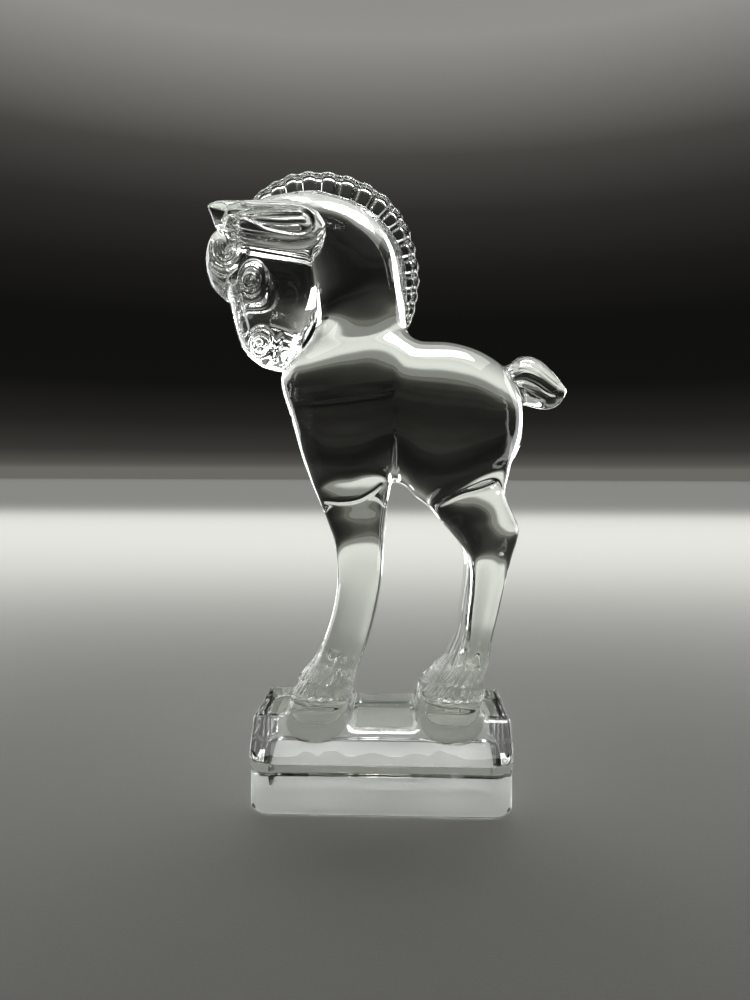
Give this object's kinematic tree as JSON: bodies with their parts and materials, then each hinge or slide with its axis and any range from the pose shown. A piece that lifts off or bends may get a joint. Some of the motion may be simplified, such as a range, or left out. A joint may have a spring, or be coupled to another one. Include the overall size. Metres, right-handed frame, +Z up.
{
  "type": "pressed glass pony figurine",
  "caption": "Clear pressed glass pony with ribbed mane, forward ears and curled tail, standing on a two-tier glass plinth.",
  "frame": {"origin": "middle of the underside of the plinth", "axes": "+X from the head to the tail along the pony, +Y to the pony's far side, +Z up"},
  "size_m": [0.1749, 0.0762, 0.3],
  "materials": {
    "clear_glass": "fire polished"
  },
  "bodies": {
    "root": {"plinth": "clear_glass", "hoof_front_near": "clear_glass", "hoof_front_far": "clear_glass", "hoof_rear_near": "clear_glass", "hoof_rear_far": "clear_glass", "fetlock_front_near": "clear_glass", "fetlock_front_far": "clear_glass", "fetlock_rear_near": "clear_glass", "fetlock_rear_far": "clear_glass", "foreleg_near": "clear_glass", "foreleg_far": "clear_glass", "cannon_rear_near": "clear_glass", "cannon_rear_far": "clear_glass", "gaskin_near": "clear_glass", "gaskin_far": "clear_glass", "hindquarters": "clear_glass", "forequarters": "clear_glass", "neck": "clear_glass", "head": "clear_glass", "muzzle": "clear_glass", "forelock": "clear_glass", "mane_crest": "clear_glass", "ear_near": "clear_glass", "ear_far": "clear_glass", "eye_near": "clear_glass", "eye_far": "clear_glass", "tail": "clear_glass"}
  },
  "joints": []
}
